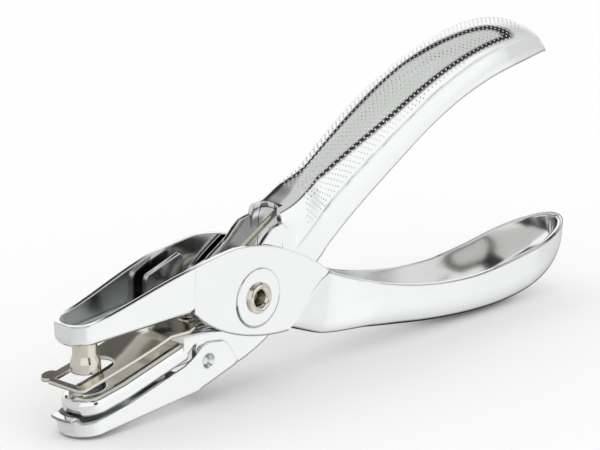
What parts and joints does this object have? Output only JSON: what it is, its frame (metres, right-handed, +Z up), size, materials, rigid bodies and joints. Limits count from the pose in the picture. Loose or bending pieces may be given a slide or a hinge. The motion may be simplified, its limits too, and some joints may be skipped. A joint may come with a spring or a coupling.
{
  "type": "single hole punch",
  "caption": "Plier-type hand punch of pressed chrome steel: two crossing levers on a rivet, a punch over a die, a stripper leaf, a hinged chip tray and a return spring.",
  "frame": {"origin": "middle of the overall box, on the surface that the punch stands on", "axes": "+X along the length from the jaws to the handles, +Y across the levers along the pivot rivet, +Z up from the surface"},
  "size_m": [0.1433, 0.0162, 0.0613],
  "materials": {
    "chrome": "bright plated pressed steel",
    "nickel": "warm nickel, satin"
  },
  "bodies": {
    "die_lever": {"die_lever": "chrome", "stripper": "nickel", "stripper_rivet": "nickel", "return_spring": "nickel"},
    "punch_lever": {"punch_lever": "chrome", "punch_pin": "nickel", "pivot_rivet": "nickel"},
    "chip_tray": {"chip_tray": "chrome"}
  },
  "joints": [
    {"name": "squeeze", "type": "hinge", "parent": "die_lever", "child": "punch_lever", "pos_m": [-0.02591, 0, 0.01885], "axis": [0, -1, 0], "range_deg": [0, 7.2], "stiffness_Nm_per_rad": 1.5, "springref_deg": -18.91, "deforming": ["return_spring"]},
    {"name": "tray_hinge", "type": "hinge", "parent": "die_lever", "child": "chip_tray", "pos_m": [-0.03807, 0, 0.00854], "axis": [0, -1, 0], "range_deg": [0, 25]}
  ]
}
